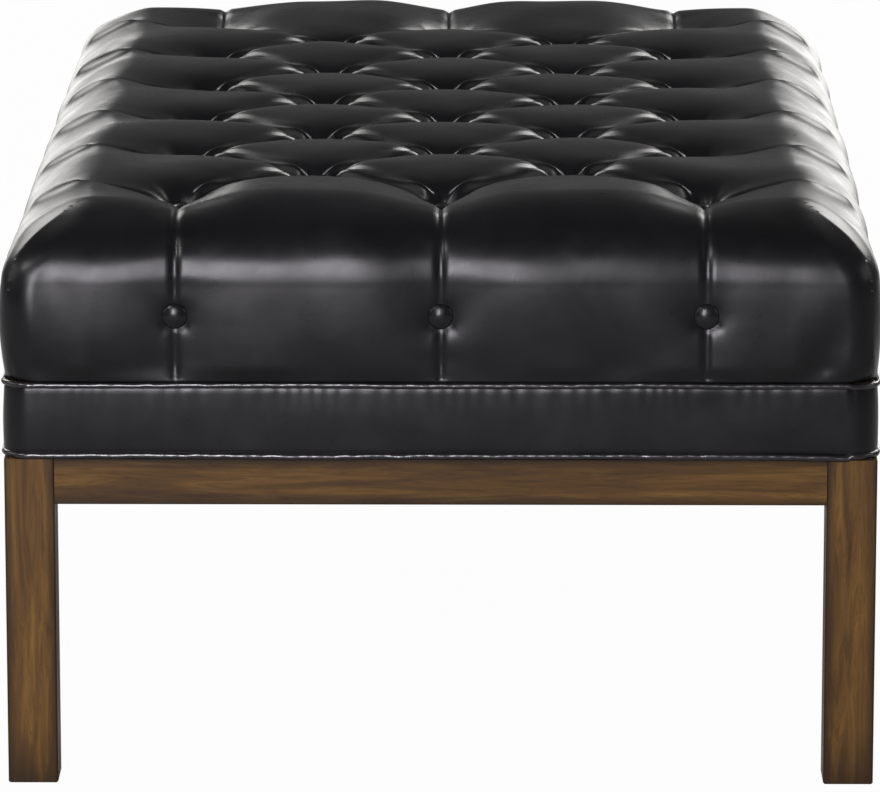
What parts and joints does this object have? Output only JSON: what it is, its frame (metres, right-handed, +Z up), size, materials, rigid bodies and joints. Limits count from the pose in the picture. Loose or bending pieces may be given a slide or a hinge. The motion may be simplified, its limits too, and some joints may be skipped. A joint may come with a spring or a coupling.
{
  "type": "chesterfield footstool",
  "caption": "Long deep-buttoned leather footstool: diamond-tufted block seat with buttoned sides, piped leather band and square wooden legs with a shallow apron.",
  "frame": {"origin": "centre of the footprint at floor level", "axes": "+X across the stool, +Y along its length (the short end at -Y faced the camera), +Z up"},
  "size_m": [0.667, 1.017, 0.458],
  "materials": {
    "dark_wood": "satin",
    "frame_wood": "matte",
    "plywood": "matte",
    "leather": "satin",
    "piping_leather": "satin",
    "button_leather": "satin",
    "foam": "matte",
    "wadding": "matte",
    "twine": "matte",
    "dust_cloth": "matte",
    "steel": "satin"
  },
  "bodies": {
    "root": {"apron_front": "dark_wood", "apron_left": "dark_wood", "apron_rear": "dark_wood", "apron_right": "dark_wood", "band_wadding": "wadding", "brace_screws": "steel", "button_row_01": "button_leather", "button_row_02": "button_leather", "button_row_03": "button_leather", "button_row_04": "button_leather", "button_row_05": "button_leather", "button_row_06": "button_leather", "button_row_07": "button_leather", "button_row_08": "button_leather", "button_row_09": "button_leather", "button_row_10": "button_leather", "button_row_11": "button_leather", "corner_brace_front_left": "frame_wood", "corner_brace_front_right": "frame_wood", "corner_brace_rear_left": "frame_wood", "corner_brace_rear_right": "frame_wood", "cross_rail": "frame_wood", "deck_board": "plywood", "deck_screws": "steel", "dust_cover": "dust_cloth", "dust_cover_tacks": "steel", "foam_block": "foam", "frame_dowels": "frame_wood", "leather_band": "leather", "leather_cover": "leather", "leg_front_left": "dark_wood", "leg_front_right": "dark_wood", "leg_rear_left": "dark_wood", "leg_rear_right": "dark_wood", "lower_piping": "piping_leather", "seat_rail_front": "frame_wood", "seat_rail_left": "frame_wood", "seat_rail_rear": "frame_wood", "seat_rail_right": "frame_wood", "seat_screws": "steel", "seat_slat_front": "frame_wood", "seat_slat_rear": "frame_wood", "side_buttons_front": "button_leather", "side_buttons_left": "button_leather", "side_buttons_rear": "button_leather", "side_buttons_right": "button_leather", "side_twines": "twine", "side_washers": "steel", "top_twines": "twine", "top_washers": "steel", "upper_piping": "piping_leather", "wadding": "wadding"}
  },
  "joints": []
}
